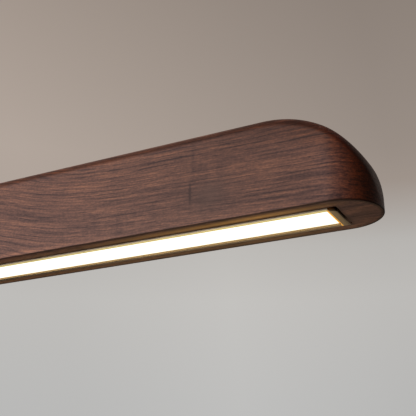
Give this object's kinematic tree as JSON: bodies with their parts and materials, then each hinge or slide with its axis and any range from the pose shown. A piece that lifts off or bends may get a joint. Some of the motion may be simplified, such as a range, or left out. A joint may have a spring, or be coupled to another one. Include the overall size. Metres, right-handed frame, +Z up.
{
  "type": "linear pendant lamp",
  "caption": "Long walnut bar with half-round swept ends, a glowing diffuser in a metal channel below, and wire grippers on top.",
  "frame": {"origin": "midpoint between the mouths of the two wire grippers, above the middle of the bar", "axes": "+X along the bar towards its right end, +Y across the bar, +Z up along the suspension wires"},
  "size_m": [1.2, 0.06, 0.1008],
  "materials": {
    "walnut": "satin oiled, grain along the bar",
    "champagne_metal": "satin champagne anodised",
    "opal": "opal, lit from behind",
    "white_board": "white solder mask",
    "light_chip": "yellow phosphor",
    "zinc_steel": "zinc plated",
    "bright_steel": "bright",
    "plain_brass": "turned",
    "nickel_plate": "satin nickel on brass",
    "black_rubber": "matt",
    "red_lead": "insulated copper lead",
    "blue_lead": "insulated copper lead",
    "driver_tray": "pressed sheet",
    "white_plastic": "fine texture",
    "green_board": "green solder mask",
    "dark_core": "ferrite and tape",
    "blue_sleeve": "shrink sleeve",
    "copper_winding": "enamelled wire"
  },
  "bodies": {
    "lamp": {"wood_body": "walnut", "led_channel": "champagne_metal", "left_end_cap": "champagne_metal", "right_end_cap": "champagne_metal", "left_seat_ring": "champagne_metal", "right_seat_ring": "champagne_metal", "left_gripper_barrel": "champagne_metal", "right_gripper_barrel": "champagne_metal", "gland_body": "champagne_metal", "gland_cap": "champagne_metal", "diffuser": "opal", "left_led_board": "white_board", "middle_led_board": "white_board", "right_led_board": "white_board", "led_chips": "light_chip", "end_cap_screws": "zinc_steel", "board_screws": "zinc_steel", "channel_screws": "zinc_steel", "module_screws": "zinc_steel", "hanger_screws": "zinc_steel", "hanger_washers": "zinc_steel", "hanger_nuts": "zinc_steel", "left_hanger_plate": "zinc_steel", "right_hanger_plate": "zinc_steel", "left_plunger_spring": "bright_steel", "right_plunger_spring": "bright_steel", "left_hollow_stud": "plain_brass", "right_hollow_stud": "plain_brass", "gland_nut": "plain_brass", "terminal_screws": "plain_brass", "web_grommet": "black_rubber", "gland_seal": "black_rubber", "dc_leads": "red_lead", "board_links": "red_lead", "mains_leads": "blue_lead", "driver_base": "driver_tray", "driver_cover": "white_plastic", "terminal_block": "white_plastic", "driver_board": "green_board", "driver_transformer": "dark_core", "driver_capacitors": "blue_sleeve", "driver_choke": "copper_winding"},
    "left_plunger": {"left_release_plunger": "nickel_plate", "left_grip_balls": "bright_steel"},
    "right_plunger": {"right_release_plunger": "nickel_plate", "right_grip_balls": "bright_steel"}
  },
  "joints": [
    {"name": "left_release_press", "type": "slide", "parent": "lamp", "child": "left_plunger", "axis": [0, 0, -1], "range_m": [0, 0.0025], "stiffness_N_per_m": 300, "springref_m": -0.004, "deforming": ["left_plunger_spring"]},
    {"name": "right_release_press", "type": "slide", "parent": "lamp", "child": "right_plunger", "axis": [0, 0, -1], "range_m": [0, 0.0025], "stiffness_N_per_m": 300, "springref_m": -0.004, "deforming": ["right_plunger_spring"]}
  ]
}
